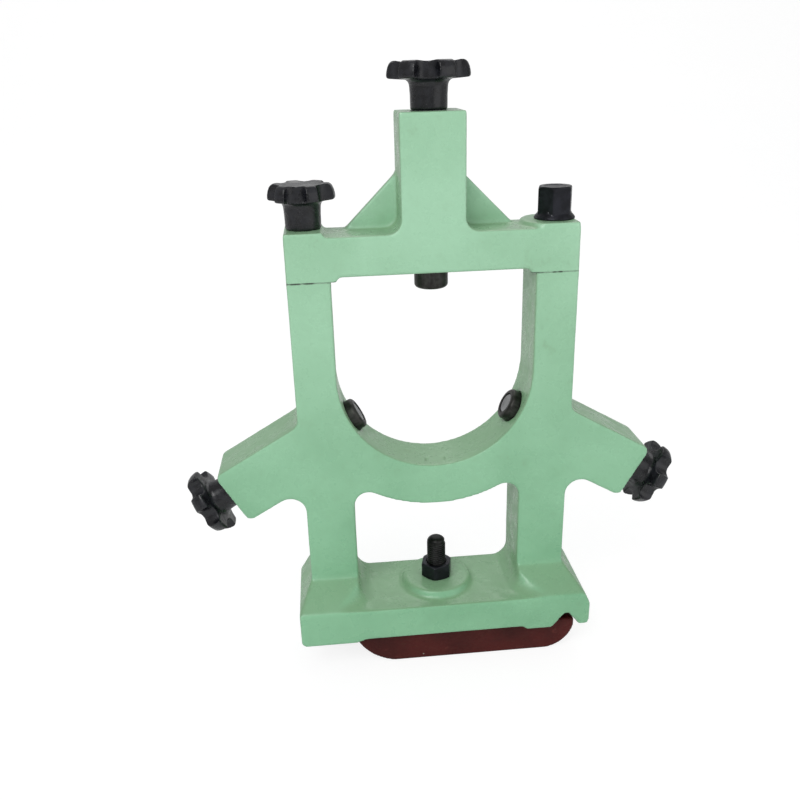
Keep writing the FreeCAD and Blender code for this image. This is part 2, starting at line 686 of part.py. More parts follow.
def made_clamp_bolt():
    """Hexagon bolt up through plate and base, with a rounded end."""
    body = new_body("clamp_bolt")
    radius = S["bolt_radius"]
    foot = HEAD_FOOT
    pad(body, outline(body, "head_hexagon", "XY_Plane", hexagon(S["nut_flats"]), lift=foot), S["bolt_head"])
    top = S["bolt_top"] + S["plate_seat"]
    shank = outline(body, "shank_section", "XZ_Plane", [
        (0, foot + 1), (radius, foot + 1), (radius, top - 5), (radius - 5, top), (0, top),
    ], {2: 5})
    feature = body.newObject("PartDesign::Revolution", "shank")
    feature.Profile = shank
    feature.ReferenceAxis = (shank, ["V_Axis"])
    feature.Angle = 360
    bind(body, Placement__Base__y=-S["bolt_back"], Placement__Base__z=PLATE_TOP)
    return body


def made_parts():
    parts = [made_lower_frame(), made_top_cap()]
    jaws = {
        "top": (S["top_tip"], S["column_top"], S["big_knob"], S["hub_height"], S["valley_turn"]),
        "left": (S["arm_tip"], S["arm_reach"], S["side_knob"], S["side_hub"], S["left_valley"]),
        "right": (S["arm_tip"], S["arm_reach"], S["side_knob"], S["side_hub"], S["right_valley"]),
    }
    for side, (tip, end, radius, under, valley) in jaws.items():
        parts += [made_quill(side, tip, end), made_tip(side, tip), made_screw(side, tip, end)]
        parts.append(made_bush(side, end))
        parts.append(made_key_screw(side))
        knob = made_knob(side + "_jaw_knob", radius, S["scallop"], under, valley)
        for piece in (knob, made_insert(side + "_knob_insert")):
            jaw_place(piece, side, end + S["knob_gap"])
            parts.append(piece)
    knob = made_knob("clamp_knob", S["small_knob"], S["small_scallop"], S["hub_height"], S["valley_turn"])
    for piece in (knob, made_insert("clamp_knob_insert", S["running"])):
        bind(piece, Placement__Base__x=-S["stud_reach"], Placement__Base__z=PAD_TOP)
        parts.append(piece)
    stud_top = PAD_TOP + S["insert_start"] + S["insert_length"] - 2
    parts.append(made_stud("clamp_stud", S["clamp_radius"], -S["stud_reach"], stud_top))
    nut_top = PAD_TOP + S["collar_nut_height"]
    parts.append(made_stud("pivot_stud", S["pivot_radius"], S["stud_reach"], nut_top - 2))
    parts += [made_collar_nut(), made_clamp_nut(), made_clamp_bolt(), made_clamp_plate()]
    return parts


def checked_and_exported(parts):
    """Stop on any failed object or bad shape, then write one STEP file for each sub-part."""
    failed = [item.Name for item in doc.Objects if {"Invalid", "Error"} & set(item.State)]
    if failed:
        raise RuntimeError("failed objects: " + ", ".join(failed))
    for part in parts:
        shape = part.Shape
        if shape.isNull() or not shape.isValid() or len(shape.Solids) != 1:
            raise RuntimeError(f"bad shape: {part.Label}, {len(shape.Solids)} solids")
    os.makedirs("parts", exist_ok=True)
    for part in parts:
        part.Shape.exportStep(f"parts/{part.Label}.step")
        print(f"{part.Label}: {part.Shape.Volume / 1000:.1f} cm3")


PARTS = made_parts()
doc.recompute()
checked_and_exported(PARTS)
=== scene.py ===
import bmesh
import bpy
import math
from mathutils import Matrix, Vector, noise


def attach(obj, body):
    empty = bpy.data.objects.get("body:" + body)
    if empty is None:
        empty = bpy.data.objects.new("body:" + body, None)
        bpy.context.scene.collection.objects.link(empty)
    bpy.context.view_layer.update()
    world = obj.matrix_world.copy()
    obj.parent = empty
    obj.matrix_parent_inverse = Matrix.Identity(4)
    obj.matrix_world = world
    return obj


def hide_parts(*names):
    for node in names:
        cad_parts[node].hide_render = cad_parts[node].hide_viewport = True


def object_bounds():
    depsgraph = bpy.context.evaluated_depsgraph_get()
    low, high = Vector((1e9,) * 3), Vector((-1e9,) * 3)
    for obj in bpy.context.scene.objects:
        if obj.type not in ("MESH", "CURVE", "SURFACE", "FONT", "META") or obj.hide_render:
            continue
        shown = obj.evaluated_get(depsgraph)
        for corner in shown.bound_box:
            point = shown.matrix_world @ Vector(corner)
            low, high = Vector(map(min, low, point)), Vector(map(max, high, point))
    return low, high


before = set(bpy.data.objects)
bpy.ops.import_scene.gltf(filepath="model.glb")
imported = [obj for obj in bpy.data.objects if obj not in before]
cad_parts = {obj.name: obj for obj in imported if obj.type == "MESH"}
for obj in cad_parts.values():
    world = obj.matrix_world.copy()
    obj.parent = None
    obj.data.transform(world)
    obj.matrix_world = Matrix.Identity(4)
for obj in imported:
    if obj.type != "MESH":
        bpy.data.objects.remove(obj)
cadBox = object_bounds()
print("frame loaded")

mm = 0.001
jawTurns = {"top": 0.0, "right": math.radians(120), "left": math.radians(-120)}
faceOffs = {"top": 195 * mm, "right": 192.5 * mm,
            "left": 192.5 * mm}   # outer faces that the jaw knobs stand on
jointHeight = 78 * mm
seatHeight = -224 * mm
padTop = 114.5 * mm
studReach = 95 * mm


# node graphs, for materials and for geometry

class Graph:
    def __init__(self, tree):
        self.tree = tree

    def add(self, kind, inputs=None, **settings):
        node = self.tree.nodes.new(kind)
        for name, value in settings.items():
            setattr(node, name, value)
        for name, value in (inputs or {}).items():
            self.feed(value, node.inputs[name])
        return node

    def feed(self, value, socket):
        if isinstance(value, bpy.types.NodeSocket):
            self.tree.links.new(value, socket)
        else:
            socket.default_value = value

    def math(self, operation, *values):
        node = self.add("ShaderNodeMath", operation=operation)
        for value, socket in zip(values, node.inputs):
            self.feed(value, socket)
        return node.outputs[0]

    def noise(self, where, scale, detail=2.0, roughness=0.5):
        node = self.add("ShaderNodeTexNoise",
                        {"Vector": where, "Scale": scale, "Detail": detail, "Roughness": roughness})
        return node.outputs["Fac"]

    def ramp(self, value, low, high, start=0.0, end=1.0):
        node = self.add("ShaderNodeMapRange", {"Value": value, "From Min": low, "From Max": high,
                                               "To Min": start, "To Max": end})
        node.interpolation_type = "SMOOTHSTEP"
        return node.outputs["Result"]

    def mix(self, share, first, second):
        node = self.add("ShaderNodeMix", data_type="RGBA")
        self.feed(share, node.inputs["Factor"])
        self.feed(first, node.inputs[6])
        self.feed(second, node.inputs[7])
        return node.outputs[2]

    def bump(self, height, distance, under=None, strength=1.0):
        node = self.add("ShaderNodeBump", {"Height": height, "Distance": distance, "Strength": strength})
        if under is not None:
            self.feed(under, node.inputs["Normal"])
        return node.outputs["Normal"]


def tone(red, green, blue):
    linear = [c / 255 / 12.92 if c <= 10 else ((c / 255 + 0.055) / 1.055) ** 2.4 for c in (red, green,
                                                            blue)]
    return (*linear, 1.0)


def newMaterial(name):
    material = bpy.data.materials.new(name)
    material.use_nodes = True
    graph = Graph(material.node_tree)
    shader = material.node_tree.nodes["Principled BSDF"]
    where = graph.add("ShaderNodeTexCoord").outputs["Object"]
    return material, graph, shader, where


def specks(graph, where, scale, size, share):
    # share of the cells hold one round speck
    cells = graph.add("ShaderNodeTexVoronoi", {"Vector": where, "Scale": scale})
    chosen = graph.add("ShaderNodeSeparateColor", {"Color": cells.outputs["Color"]}).outputs[0]
    chosen = graph.math("LESS_THAN", chosen, share)
    spot = graph.ramp(cells.outputs["Distance"], size * 0.6, size, 1.0, 0.0)
    return graph.math("MULTIPLY", chosen, spot)


def greenEnamel():
    # the two Low tones are darker copies of the paint tones: painted shade towards the foot
    look = {"fresh": tone(173, 221, 186), "faded": tone(163, 211, 175), "grimeAndShade": tone(126, 160, 122),
            "freshShadedLow": tone(143, 200, 159), "fadedShadedLow": tone(131, 188, 147),
            "bare": tone(38, 42, 34), "side": tone(136, 170, 132), "rough": (0.2, 0.42)}
    material, graph, shader, where = newMaterial("greenEnamel")
    broad = graph.noise(where, 11, 3)
    mottle = graph.noise(where, 75, 5, 0.6)
    # painted light: the enamel turns lighter towards the top and darker towards the foot, like light
    # falling from above
    height = graph.add("ShaderNodeSeparateXYZ", {"Vector": where}).outputs["Z"]
    paintedLightRise = graph.ramp(height, -0.2, 0.15)
    fresh = graph.mix(paintedLightRise, look["freshShadedLow"], look["fresh"])
    faded = graph.mix(paintedLightRise, look["fadedShadedLow"], look["faded"])
    colour = graph.mix(graph.ramp(broad, 0.35, 0.65), fresh, faded)
    grime = graph.math("MULTIPLY", graph.ramp(mottle, 0.56, 0.74), graph.ramp(broad, 0.5, 0.7, 0.1, 0.55))
    colour = graph.mix(grime, colour, look["grimeAndShade"])
    point = graph.add("ShaderNodeNewGeometry").outputs["Pointiness"]
    # painted shade: hollows and creases (low pointiness) are darkened towards the grime tone
    colour = graph.mix(graph.ramp(point, 0.44, 0.5, 0.45, 0.0), colour, look["grimeAndShade"])
    # painted highlight: sharp convex edges are lightened to a pale green
    colour = graph.mix(graph.ramp(point, 0.53, 0.6, 0.0, 0.35), colour, tone(196, 233, 204))
    # painted shade: faces turned away from the front and back are greyed towards the side tone
    facing = graph.add("ShaderNodeSeparateXYZ",
                       {"Vector": graph.add("ShaderNodeTexCoord").outputs["Normal"]})
    paintedSideShade = graph.ramp(graph.math("ABSOLUTE", facing.outputs["Y"]), 0.35, 0.85, 0.7, 0.0)
    colour = graph.mix(paintedSideShade, colour, look["side"])
    off = graph.math("ABSOLUTE", graph.math("SUBTRACT", height, jointHeight))
    chips = graph.math("MULTIPLY", graph.ramp(off, 0.0003, 0.0009, 1.0, 0.0),
                       graph.ramp(graph.noise(where, 90, 3), 0.46, 0.56, 0.25, 0.9))
    dots = specks(graph, where, 42, 0.02, 0.06)
    colour = graph.mix(graph.math("MAXIMUM", chips, graph.math("MULTIPLY", dots, 0.6)), colour,
                       look["bare"])
    graph.feed(colour, shader.inputs["Base Color"])
    graph.feed(graph.ramp(mottle, 0.3, 0.7, *look["rough"]), shader.inputs["Roughness"])
    wave = graph.bump(graph.noise(where, 34, 3), 0.0016)
    peel = graph.bump(graph.noise(where, 420, 2), 0.00003, wave)
    graph.feed(graph.bump(dots, 0.0003, peel), shader.inputs["Normal"])
    return material


def blackPlastic():
    material, graph, shader, where = newMaterial("blackPlastic")
    flow = graph.noise(where, 160, 4)
    colour = graph.mix(graph.ramp(flow, 0.35, 0.7), tone(16, 17, 21), tone(30, 31, 37))
    point = graph.add("ShaderNodeNewGeometry").outputs["Pointiness"]
    # painted highlight: sharp edges of the knob are lightened to grey
    colour = graph.mix(graph.ramp(point, 0.54, 0.64, 0.0, 0.6), colour, tone(96, 97, 106))
    dust = specks(graph, where, 260, 0.1, 0.12)
    colour = graph.mix(graph.math("MULTIPLY", dust, 0.5), colour, tone(120, 122, 128))
    graph.feed(colour, shader.inputs["Base Color"])
    graph.feed(graph.ramp(flow, 0.3, 0.7, 0.2, 0.38), shader.inputs["Roughness"])
    grain = graph.bump(graph.noise(where, 520, 3), 0.00008)
    graph.feed(graph.bump(graph.noise(where, 110, 2), 0.0005, grain), shader.inputs["Normal"])
    return material


def steel(name, colours, rough, metal, edgeHighlight=0.0):
    material, graph, shader, where = newMaterial(name)
    cloud = graph.noise(where, 120, 5, 0.6)
    colour = graph.mix(graph.ramp(cloud, 0.35, 0.65), colours[0], colours[1])
    if edgeHighlight:
        # painted highlight: sharp edges are lightened towards pale steel
        point = graph.add("ShaderNodeNewGeometry").outputs["Pointiness"]
        colour = graph.mix(graph.ramp(point, 0.53, 0.6, 0.0, edgeHighlight), colour, tone(150, 150, 156))
    graph.feed(colour, shader.inputs["Base Color"])
    shader.inputs["Metallic"].default_value = metal
    graph.feed(graph.ramp(cloud, 0.3, 0.7, *rough), shader.inputs["Roughness"])
    graph.feed(graph.bump(graph.noise(where, 700, 2), 0.00008), shader.inputs["Normal"])
    return material


def redOxide():
    material, graph, shader, where = newMaterial("redOxide")
    broad = graph.noise(where, 22, 4)
    colour = graph.mix(graph.ramp(broad, 0.3, 0.7), tone(88, 34, 31), tone(66, 27, 25))
    scuff = graph.ramp(graph.noise(where, 95, 6, 0.7), 0.6, 0.72)
    colour = graph.mix(graph.math("MULTIPLY", scuff, 0.5), colour, tone(120, 62, 54))
    dots = specks(graph, where, 60, 0.05, 0.06)
    colour = graph.mix(dots, colour, tone(150, 140, 128))
    graph.feed(colour, shader.inputs["Base Color"])
    graph.feed(graph.ramp(broad, 0.3, 0.7, 0.42, 0.6), shader.inputs["Roughness"])
    shader.inputs["Specular IOR Level"].default_value = 0.18
    sand = graph.bump(graph.noise(where, 300, 4), 0.0003)
    graph.feed(graph.bump(graph.noise(where, 45, 3), 0.0012, sand), shader.inputs["Normal"])
    return material


enamel = greenEnamel()
plastic = blackPlastic()
oxide = redOxide()
blued = steel("bluedSteel", (tone(30, 31, 36), tone(44, 45, 52)), (0.3, 0.45), 0.7, 0.6)
oily = steel("oilySteel", (tone(24, 26, 25), tone(46, 47, 45)), (0.32, 0.5), 0.85, 0.5)
umber = steel("umberSteel", (tone(44, 43, 41), tone(70, 70, 67)), (0.34, 0.5), 0.75, 0.8)
ground = steel("groundSteel", (tone(134, 136, 137), tone(164, 165, 165)), (0.2, 0.34), 1.0)
machined = steel("machinedIron", (tone(128, 128, 126), tone(158, 158, 154)), (0.3, 0.45), 0.95)
brass = steel("brass", (tone(176, 140, 76), tone(196, 162, 96)), (0.25, 0.4), 1.0)
print("materials made")


# mesh helpers

def newObject(name, mesh, material):
    thing = bpy.data.objects.new(name, mesh)
    bpy.context.scene.collection.objects.link(thing)
    if not mesh.materials:
        mesh.materials.append(material)
    return thing


def lathe(name, profile, material, steps=96):
    # profile is (radius, height) in mm, closed on the axis or on itself
    mesh = bpy.data.meshes.new(name)
    build = bmesh.new()
    corners = [build.verts.new((r * mm, 0, z * mm)) for r, z in profile]
    sides = [build.edges.new(pair) for pair in zip(corners, corners[1:])]
    if profile[0][0] > 0:
        sides.append(build.edges.new((corners[-1], corners[0])))
    bmesh.ops.spin(build, geom=corners + sides, cent=(0, 0, 0), axis=(0, 0, 1), angle=2 * math.pi,
                   steps=steps)
    bmesh.ops.remove_doubles(build, verts=build.verts, dist=1e-6)
    bmesh.ops.recalc_face_normals(build, faces=build.faces)
    build.to_mesh(mesh)
    build.free()
    return newObject(name, mesh, material)


def bakeModifiers(thing, material):
    bpy.context.view_layer.update()
    mesh = bpy.data.meshes.new_from_object(thing.evaluated_get(bpy.context.evaluated_depsgraph_get()))
    thing.modifiers.clear()
    thing.data = mesh
    mesh.materials.clear()
    mesh.materials.append(material)
    return thing


def roundOver(thing, voxel, passes):
    # one closed skin with softened edges
    skin = thing.modifiers.new("skin", "REMESH")
    skin.mode = "VOXEL"
    skin.voxel_size = voxel
    skin.use_smooth_shade = True
    soft = thing.modifiers.new("soft", "SMOOTH")
    soft.factor = 0.5
    soft.iterations = passes


def finishPiece(thing, body, slot, *nodes, place=None):
    if place is not None:
        thing.data.transform(place)
    for polygon in thing.data.polygons:
        polygon.use_smooth = True
    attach(thing, body)
    if nodes:
        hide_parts(*nodes)
    return thing


def jawPlace(side, distance):
    return Matrix.Rotation(jawTurns[side], 4, "Y") @ Matrix.Translation((0, 0, distance))


# castings

def cutFlat(build, height, keepAbove):
    normal = (0, 0, -1) if keepAbove else (0, 0, 1)
    geometry = build.verts[:] + build.edges[:] + build.faces[:]
    cut = bmesh.ops.bisect_plane(build, geom=geometry, plane_co=(0, 0, height), plane_no=normal,
                                 clear_outer=True)
    rim = [item for item in cut["geom_cut"] if isinstance(item, bmesh.types.BMEdge)]
    filled = bmesh.ops.triangle_fill(build, edges=rim, use_beauty=True, normal=normal)
    for face in (item for item in filled["geom"] if isinstance(item, bmesh.types.BMFace)):
        face.material_index = 1


def bareFaces(build):
    # machined ways under the foot
    for face in build.faces:
        x, y, z = face.calc_center_median()
        onPad = z < seatHeight + 0.6 * mm and face.normal.z < -0.9
        inVee = 93 * mm < x < 117 * mm and z < seatHeight + 15.6 * mm and face.normal.z < -0.35
        if onPad or inVee:
            face.material_index = 1


def casting(name, node, look):
    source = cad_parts[node].data.copy()
    build = bmesh.new()
    build.from_mesh(source)
    bmesh.ops.remove_doubles(build, verts=build.verts, dist=1e-5)
    away = -6 * mm if look["keepAbove"] else 6 * mm
    for vertex in build.verts:
        if abs(vertex.co.z - jointHeight) < 1e-5:
            vertex.co.z += away   # cut off again after smoothing, so the joint's edge stays sharp
    build.to_mesh(source)
    build.free()
    source.materials.clear()
    thing = newObject(name, source, enamel)
    roundOver(thing, look["voxel"], look["passes"])
    bakeModifiers(thing, enamel)
    thing.data.materials.append(machined)
    build = bmesh.new()
    build.from_mesh(thing.data)
    for vertex in build.verts:
        flat = min(abs(vertex.co.z - jointHeight), abs(vertex.co.z - seatHeight)) < 4 * mm
        wave = noise.fractal(vertex.co * look["waveScale"], 1.0, 2.0, 3)
        vertex.co -= vertex.normal * look["wave"] * (0.25 if flat else 1.0) * (0.5 + 0.5 * wave)
    clearBores(build, look["bores"])
    build.normal_update()
    cutFlat(build, jointHeight + (0.06 if look["keepAbove"] else -0.06) * mm, look["keepAbove"])
    bareFaces(build)
    bmesh.ops.recalc_face_normals(build, faces=build.faces)
    build.to_mesh(thing.data)
    build.free()
    print(name, len(thing.data.polygons), "faces")
    return thing


def clearBores(build, bores):
    # keep the bore walls off the parts that run in them
    for foot, way, radius in bores:
        way = way.normalized()
        for vertex in build.verts:
            along = (vertex.co - foot).dot(way)
            if along < -2 * mm:
                continue
            across = vertex.co - foot - way * along
            if radius * 0.8 < across.length < radius + 0.35 * mm:
                vertex.co += across * ((radius + 0.35 * mm) / across.length - 1)


def axisOf(side):
    return Matrix.Rotation(jawTurns[side], 3, "Y") @ Vector((0, 0, 1))


castings = {
    "lowerCasting": {"voxel": 1.5 * mm, "passes": 7, "wave": 0.22 * mm, "waveScale": 42, "keepAbove": False,
                     "bores": [(Vector(), axisOf("left"), 13 * mm), (Vector(), axisOf("right"), 13 * mm),
                               (Vector((0, -11 * mm, -1)), Vector((0, 0, 1)), 8.2 * mm)]},
    "capCasting": {"voxel": 1.3 * mm, "passes": 7, "wave": 0.22 * mm, "waveScale": 42, "keepAbove": True,
                   "bores": [(Vector(), axisOf("top"), 13 * mm),
                             (Vector((studReach, 0, 0)), Vector((0, 0, 1)), 8 * mm)]},
}
lower = finishPiece(casting("lowerCasting", "lower_frame", castings["lowerCasting"]), "frame",
                    "green_paint", "lower_frame")
cap = finishPiece(casting("capCasting", "top_cap", castings["capCasting"]), "cap", "green_paint", "top_cap")


# star knobs

def newTree(name, numbers):
    tree = bpy.data.node_groups.new(name, "GeometryNodeTree")
    tree.interface.new_socket("Geometry", in_out="INPUT", socket_type="NodeSocketGeometry")
    for label in numbers:
        tree.interface.new_socket(label, in_out="INPUT", socket_type="NodeSocketFloat")
    tree.interface.new_socket("Material", in_out="INPUT", socket_type="NodeSocketMaterial")
    tree.interface.new_socket("Geometry", in_out="OUTPUT", socket_type="NodeSocketGeometry")
    return tree, Graph(tree)


def endTree(graph, geometry, given):
    whole = graph.add("GeometryNodeRealizeInstances", {"Geometry": geometry})
    painted = graph.add("GeometryNodeSetMaterial",
                        {"Geometry": whole.outputs[0], "Material": given["Material"]})
    graph.add("NodeGroupOutput", {"Geometry": painted.outputs[0]})


def scallopTree():
    # cuts evenly spaced scallops out of a turned rim
    tree, graph = newTree("scallops", ["Lobes", "Rim radius", "Scallop radius", "First valley"])
    given = graph.add("NodeGroupInput").outputs
    ring = graph.add("GeometryNodeMeshCircle", {"Vertices": given["Lobes"], "Radius": given["Rim radius"]})
    turn = graph.add("ShaderNodeCombineXYZ", {"Z": given["First valley"]})
    turned = graph.add("GeometryNodeTransform", {"Geometry": ring.outputs[0], "Rotation": turn.outputs[0]})
    cutter = graph.add("GeometryNodeMeshCylinder",
                       {"Vertices": 96, "Radius": given["Scallop radius"], "Depth": 0.12})
    cutters = graph.add("GeometryNodeInstanceOnPoints",
                        {"Points": turned.outputs[0], "Instance": cutter.outputs[0]})
    solid = graph.add("GeometryNodeRealizeInstances", {"Geometry": cutters.outputs[0]})
    cut = graph.add("GeometryNodeMeshBoolean", operation="DIFFERENCE", solver="MANIFOLD")
    graph.feed(given["Geometry"], cut.inputs["Mesh 1"])
    graph.feed(solid.outputs[0], cut.inputs["Mesh 2"])
    endTree(graph, cut.outputs[0], given)
    return tree


def useTree(thing, tree, values):
    modifier = thing.modifiers.new(tree.name, "NODES")
    modifier.node_group = tree
    for item in tree.interface.items_tree:
        if item.in_out == "INPUT" and item.name in values:
            modifier[item.identifier] = values[item.name]


def knobProfile(radius, hub):
    # half section from the roof of the insert's pocket, out round hub and rim, to the dished top
    top = hub + 12.5
    pocket = [(0, 18), (9, 18), (9, 3), (6.5, 3), (6.5, 0)]
    stem = [(12.6, 0), (13.4, 0.8), (13.5, hub * 0.5), (13.9, hub - 4), (14.6, hub - 1.8),
            (16.4, hub - 0.2)]
    rim = [(radius - 1.6, hub + 0.7), (radius - 0.3, hub + 1.3), (radius, hub + 2.7),
           (radius - 0.2, hub + 5),
           (radius - 0.9, hub + 8), (radius - 2.0, hub + 10.4), (radius - 3.2, top - 0.8),
           (radius - 4.6, top - 0.1),
           (radius - 6.5, top)]
    dish = [(radius - 8.5, top - 0.5), (radius - 12, top - 1.2), (0, top - 1.5)]
    return pocket + stem + rim + dish


scallops = scallopTree()
knobGap = 0.1 * mm
knobs = {
    "topKnob": {"radius": 30.0, "hub": 20.5, "scallop": 0.30, "valley": -99, "body": "top_feed",
                "node": "top_jaw_knob",
                "place": jawPlace("top", faceOffs["top"] + knobGap)},
    "leftKnob": {"radius": 28.0, "hub": 17.0, "scallop": 0.30, "valley": -91, "body": "left_feed",
                 "node": "left_jaw_knob", "place": jawPlace("left", faceOffs["left"] + knobGap)},
    "rightKnob": {"radius": 28.0, "hub": 17.0, "scallop": 0.30, "valley": -128.5, "body": "right_feed",
                  "node": "right_jaw_knob", "place": jawPlace("right", faceOffs["right"] + knobGap)},
    "clampKnob": {"radius": 25.0, "hub": 20.5, "scallop": 0.335, "valley": -99.4, "body": "clamp_knob",
                  "node": "clamp_knob", "place": Matrix.Translation((-studReach, 0, padTop))},
}
for name, knob in knobs.items():
    piece = lathe(name, knobProfile(knob["radius"], knob["hub"]), plastic, 144)
    useTree(piece, scallops, {"Lobes": 6, "Rim radius": knob["radius"] * mm, "Material": plastic,
                              "Scallop radius": knob["radius"] * knob["scallop"] * mm,
                              "First valley": math.radians(knob["valley"])})
    roundOver(piece, 0.55 * mm, 3)
    bakeModifiers(piece, plastic)
    finishPiece(piece, knob["body"], "black_plastic", knob["node"], place=knob["place"])
    print(name, len(piece.data.polygons), "faces")


# nuts

def flatsTree():
    # cuts flats on a turned blank
    tree, graph = newTree("flats", ["Across flats", "Turn"])
    given = graph.add("NodeGroupInput").outputs
    corner = graph.math("DIVIDE", given["Across flats"], math.sqrt(3))
    prism = graph.add("GeometryNodeMeshCylinder", {"Vertices": 6, "Radius": corner, "Depth": 0.2})
    turn = graph.add("ShaderNodeCombineXYZ", {"Z": given["Turn"]})
    turned = graph.add("GeometryNodeTransform", {"Geometry": prism.outputs[0], "Rotation": turn.outputs[0]})
    cut = graph.add("GeometryNodeMeshBoolean", operation="INTERSECT")
    graph.feed(given["Geometry"], cut.inputs["Mesh 2"])
    graph.feed(turned.outputs[0], cut.inputs["Mesh 2"])
    endTree(graph, cut.outputs[0], given)
    return tree


flats = flatsTree()
nuts = {
    "pivotNut": {"blank": [(0, 22.6), (8, 22.6), (8, 0), (13.9, 0), (13.9, 22.2), (12.0, 24), (8.6, 24),
                           (7.8, 23.4), (0, 23.2)], "turn": 10, "body": "frame",
                 "node": "pivot_collar_nut", "slot": "blackened_steel", "place": (studReach, 0, padTop),
                 "foot": [(8, 0), (15.5, 0), (15.5, 1.2), (14.4, 2.6), (12.9, 4.2), (12.0, 6.4), (8, 6.4)]},
    "clampNut": {"blank": [(8.1, 0), (12.2, 0), (13.9, 1), (13.9, 11.9), (12.0, 13), (9, 13), (8.1, 12.2)],
                 "turn": 16,
                 "body": "bed_nut", "node": "clamp_nut", "slot": "dark_steel",
                 "place": (0, -11 * mm, seatHeight + 37 * mm),
                 "foot": None},
}
for name, nut in nuts.items():
    piece = lathe(name, nut["blank"], blued, 96)
    useTree(piece, flats, {"Across flats": 24 * mm, "Turn": math.radians(nut["turn"]), "Material": blued})
    bakeModifiers(piece, blued)
    if nut["foot"]:
        foot = lathe(name + "Foot", nut["foot"], blued, 96)
        build = bmesh.new()
        build.from_mesh(piece.data)
        build.from_mesh(foot.data)
        build.to_mesh(piece.data)
        build.free()
        bpy.data.objects.remove(foot)
    roundOver(piece, 0.4 * mm, 2)
    bakeModifiers(piece, blued)
    finishPiece(piece, nut["body"], nut["slot"], nut["node"], place=Matrix.Translation(nut["place"]))
    print(name, len(piece.data.polygons), "faces")


# threads

def threadTree():
    # presses a thread into the wall of a rod between two heights
    tree, graph = newTree("thread", ["Radius", "Pitch", "Depth", "Start", "End"])
    given = graph.add("NodeGroupInput").outputs
    spot = graph.add("GeometryNodeInputPosition").outputs[0]
    parts = graph.add("ShaderNodeSeparateXYZ", {"Vector": spot}).outputs
    angle = graph.math("DIVIDE", graph.math("ARCTAN2", parts["Y"], parts["X"]), 2 * math.pi)
    turns = graph.math("SUBTRACT", graph.math("DIVIDE", parts["Z"], given["Pitch"]), angle)
    saw = graph.math("ABSOLUTE", graph.math("SUBTRACT", graph.math("FRACT", turns), 0.5))
    tooth = graph.ramp(saw, 0.08, 0.42)
    reach = graph.math("SQRT", graph.math("ADD", graph.math("POWER", parts["X"], 2.0), graph.math("POWER",
                                                            parts["Y"], 2.0)))
    onWall = graph.math("GREATER_THAN", reach, graph.math("SUBTRACT", given["Radius"], 0.0004))
    inside = graph.math("MULTIPLY", graph.ramp(parts["Z"], given["Start"], graph.math("ADD", given["Start"],
                                                            given["Pitch"])),
                        graph.ramp(parts["Z"], graph.math("SUBTRACT", given["End"], given["Pitch"]),
                                   given["End"], 1.0, 0.0))
    press = graph.math("MULTIPLY", graph.math("MULTIPLY", tooth, given["Depth"]),
                       graph.math("MULTIPLY", onWall, inside))
    share = graph.math("SUBTRACT", 1.0, graph.math("DIVIDE", press, given["Radius"]))
    moved = graph.add("ShaderNodeCombineXYZ", {"X": graph.math("MULTIPLY", parts["X"], share),
                                               "Y": graph.math("MULTIPLY", parts["Y"], share),
                                               "Z": parts["Z"]})
    placed = graph.add("GeometryNodeSetPosition",
                       {"Geometry": given["Geometry"], "Position": moved.outputs[0]})
    endTree(graph, placed.outputs[0], given)
    return tree


def rodProfile(radius, foot, top, tip, step):
    # half section of a rod whose wall has a point every step, with a rounded tip
    wall = [(radius, foot + step * n) for n in range(1, int((top - tip - foot) / step))]
    dome = [(radius - tip * (1 - math.cos(a)), top - tip + tip * math.sin(a)) for a in
            (math.radians(15 * n) for n in range(7))]
    return [(0, foot), (radius - 0.6, foot)] + wall + dome + [(0, top)]


threads = threadTree()
rods = {
    "bedBolt": {"radius": 7.9, "foot": -20, "top": 73.5, "tip": 5.0, "pitch": 2.0, "depth": 1.0,
                "start": 30, "body": "bed_bolt",
                "node": "clamp_bolt", "slot": "dark_steel", "place": (0, -11 * mm, seatHeight),
                "material": oily},
    "pivotStud": {"radius": 7.9, "foot": -34, "top": 58.5, "tip": 1.5, "pitch": 2.0, "depth": 1.0,
                  "start": 30, "body": "frame",
                  "node": "pivot_stud", "slot": "dark_steel", "place": (studReach, 0, jointHeight),
                  "material": oily},
    "clampStud": {"radius": 5.95, "foot": -34, "top": 52, "tip": 1.5, "pitch": 1.75, "depth": 0.85,
                  "start": 18, "body": "frame",
                  "node": "clamp_stud", "slot": "dark_steel", "place": (-studReach, 0, jointHeight),
                  "material": oily},
}
for name, rod in rods.items():
    piece = lathe(name, rodProfile(rod["radius"], rod["foot"], rod["top"], rod["tip"], rod["pitch"] / 10),
                  rod["material"], 64)
    useTree(piece, threads, {"Radius": rod["radius"] * mm, "Pitch": rod["pitch"] * mm,
                             "Depth": rod["depth"] * mm,
                             "Start": rod["start"] * mm, "End": rod["top"] * mm,
                             "Material": rod["material"]})
    bakeModifiers(piece, rod["material"])
    if name == "bedBolt":
        head = lathe("bedBoltHead", [(0, -27.2), (12, -27.2), (13.9, -26.2), (13.9, -17.4), (0, -17.4)],
                     oily, 96)
        useTree(head, flats, {"Across flats": 24 * mm, "Turn": 0.0, "Material": oily})
        bakeModifiers(head, oily)
        build = bmesh.new()
        build.from_mesh(piece.data)
        build.from_mesh(head.data)
        build.to_mesh(piece.data)
        build.free()
        bpy.data.objects.remove(head)
    finishPiece(piece, rod["body"], rod["slot"], rod["node"], place=Matrix.Translation(rod["place"]))
    print(name, len(piece.data.polygons), "faces")


# jaws

tipRest = {"top": 66 * mm, "left": 69.4 * mm, "right": 69.4 * mm}
for side in jawTurns:
    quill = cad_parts[side + "_jaw_quill"]
    quill.data.materials.clear()
    quill.data.materials.append(umber)
    dish = lathe(side + "JawTip", [(0, 2.6), (5.2, 1.15), (7.2, 0.55), (8.0, 0.8), (8.45, 1.3), (8.45, 3.9),
                                   (0, 3.9)], ground, 96)
    finishPiece(dish, side + "_jaw", "bright_steel", side + "_jaw_tip", place=jawPlace(side, tipRest[side]))


# clamp plate

